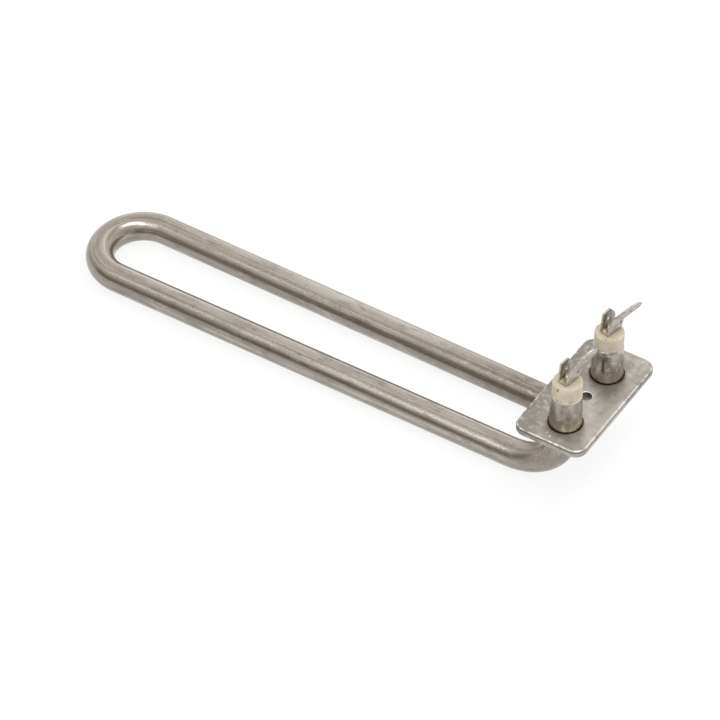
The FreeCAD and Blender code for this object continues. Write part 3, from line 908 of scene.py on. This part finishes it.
make_sheath(tube_finish())
make_plate(plate_finish())
ivory = bead_finish()
plated = tab_finish()
brazed = braze_finish()
for side in SIDES:
    make_bead(side, ivory)
    make_terminal(side, plated)
    make_braze(side, brazed)

# Solids that show as they are and only get a material
tarnished = pin_finish()
resin = powder_finish("seal_resin", colour(0.62, 0.54, 0.38), colour(0.50, 0.42, 0.28), 0.8)
magnesia = powder_finish("packed_magnesia", colour(0.82, 0.80, 0.76), colour(0.70, 0.68, 0.64),
                         0.5)
kept_solids = {
    "near_terminal_pin": tarnished,
    "near_end_seal": resin,
    "magnesia_fill": magnesia,
    "resistance_coil": coil_finish(),
    "far_terminal_pin": tarnished,
    "far_end_seal": resin,
}
for name, material in kept_solids.items():
    node = frame["nodes"][name]
    node.data.materials.clear()
    node.data.materials.append(material)


# The floor, the light and the camera

FLOOR_GLOW = 0.85
FLOOR_SIZE = 6
FLOOR_LEVEL = -0.02 * MM


def floor_finish():
    """A pale sheet that glows like a light table, so that shadows stay faint."""
    material, tree, shader, place = new_finish(
        "pale_floor", 0.0, Roughness=0.9, Specular_IOR_Level=0.1,
        Emission_Color=colour(1.0, 1.0, 1.0), Emission_Strength=FLOOR_GLOW)
    cloud = noise(tree, place, 60.0, detail=2)
    join(tree, shader,
         Base_Color=mixed(tree, cloud, colour(0.12, 0.12, 0.12), colour(0.14, 0.14, 0.14)))
    return material


bpy.ops.mesh.primitive_plane_add(size=FLOOR_SIZE, location=(0, 0, FLOOR_LEVEL))
floor = bpy.context.active_object
floor.name = "pale_floor"
floor.data.materials.append(floor_finish())

# Place, turn in degrees, width, depth and power in watts. They hang a metre above the floor.
SOFTBOXES = {
    "strip_softbox": ((-0.47, -0.48, 1.0), 0, 0.8, 0.022, 0.22),
    "side_softbox": ((0.27, -0.19, 1.0), -10, 0.27, 1.05, 4.6),
    "front_softbox": ((-0.20, -0.86, 1.0), 17, 0.55, 0.14, 1.3),
}


def softbox(name, place, turn, width, depth, power):
    """A flat lamp that hangs level and shines down."""
    lamp = bpy.data.lights.new(name, "AREA")
    lamp.shape = "RECTANGLE"
    lamp.size = width
    lamp.size_y = depth
    lamp.energy = power
    holder = bpy.data.objects.new(name, lamp)
    bpy.context.scene.collection.objects.link(holder)
    holder.location = place
    holder.rotation_euler = (0, 0, math.radians(turn))


for name, settings in SOFTBOXES.items():
    softbox(name, *settings)


def lit_white(strength):
    return colour(strength, 0.99 * strength, 0.97 * strength)


CEILING = lit_white(0.88)
BACKDROP = lit_white(1.18)
BACKDROP_FOOT = lit_white(1.32)
UNLIT = colour(0.30, 0.288, 0.27)


def studio_room():
    """A dim ceiling, a bright backdrop brighter at its foot, and an unlit side in front."""
    world = bpy.data.worlds.new("studio_room")
    world.use_nodes = True
    tree = world.node_tree
    _, back_way, up_way = axes(tree, add(tree, "ShaderNodeTexCoord").outputs["Generated"])
    white = two_tone(tree, back_way, 0.0, 0.55, CEILING, BACKDROP)
    white = mixed(tree, spread(tree, back_way, 0.66, 0.80), white, BACKDROP_FOOT)
    in_front = spread(tree, back_way, -0.25, -0.60)
    low_down = spread(tree, up_way, 0.52, 0.28)
    horizon = spread(tree, up_way, 0.14, 0.02, 0.0, 0.7)
    dark = maths(tree, "MAXIMUM", times(tree, in_front, low_down), horizon)
    tree.links.new(mixed(tree, dark, white, UNLIT), tree.nodes["Background"].inputs["Color"])
    return world


bpy.context.scene.world = studio_room()

# The camera stands where the photograph was taken from
VIEW_AZIMUTH = math.radians(32.75)
VIEW_ELEVATION = math.radians(43.852)
VIEW_TARGET = Vector((8.537, -0.5, 4.25)) * MM
VIEW_DISTANCE = 1023.5 * MM
VIEW_SIDESTEP = 3.455 * MM
VIEW_DROP = 1.061 * MM
VIEW_LENS = 180
VIEW_SENSOR = 36
VIEW_REACH = 20

back = Vector((math.sin(VIEW_AZIMUTH) * math.cos(VIEW_ELEVATION),
               -math.cos(VIEW_AZIMUTH) * math.cos(VIEW_ELEVATION), math.sin(VIEW_ELEVATION)))
right = Vector((math.cos(VIEW_AZIMUTH), math.sin(VIEW_AZIMUTH), 0))
upright = back.cross(right)
camera_data = bpy.data.cameras.new("studio_camera")
camera_data.lens = VIEW_LENS
camera_data.sensor_width = VIEW_SENSOR
camera_data.clip_end = VIEW_REACH
camera = bpy.data.objects.new("studio_camera", camera_data)
bpy.context.scene.collection.objects.link(camera)
stand = VIEW_TARGET + back * VIEW_DISTANCE - right * VIEW_SIDESTEP - upright * VIEW_DROP
facing = Matrix((right, upright, back)).transposed().to_4x4()
camera.matrix_world = Matrix.Translation(stand) @ facing
bpy.context.scene.camera = camera
bpy.context.scene.view_settings.view_transform = "Standard"
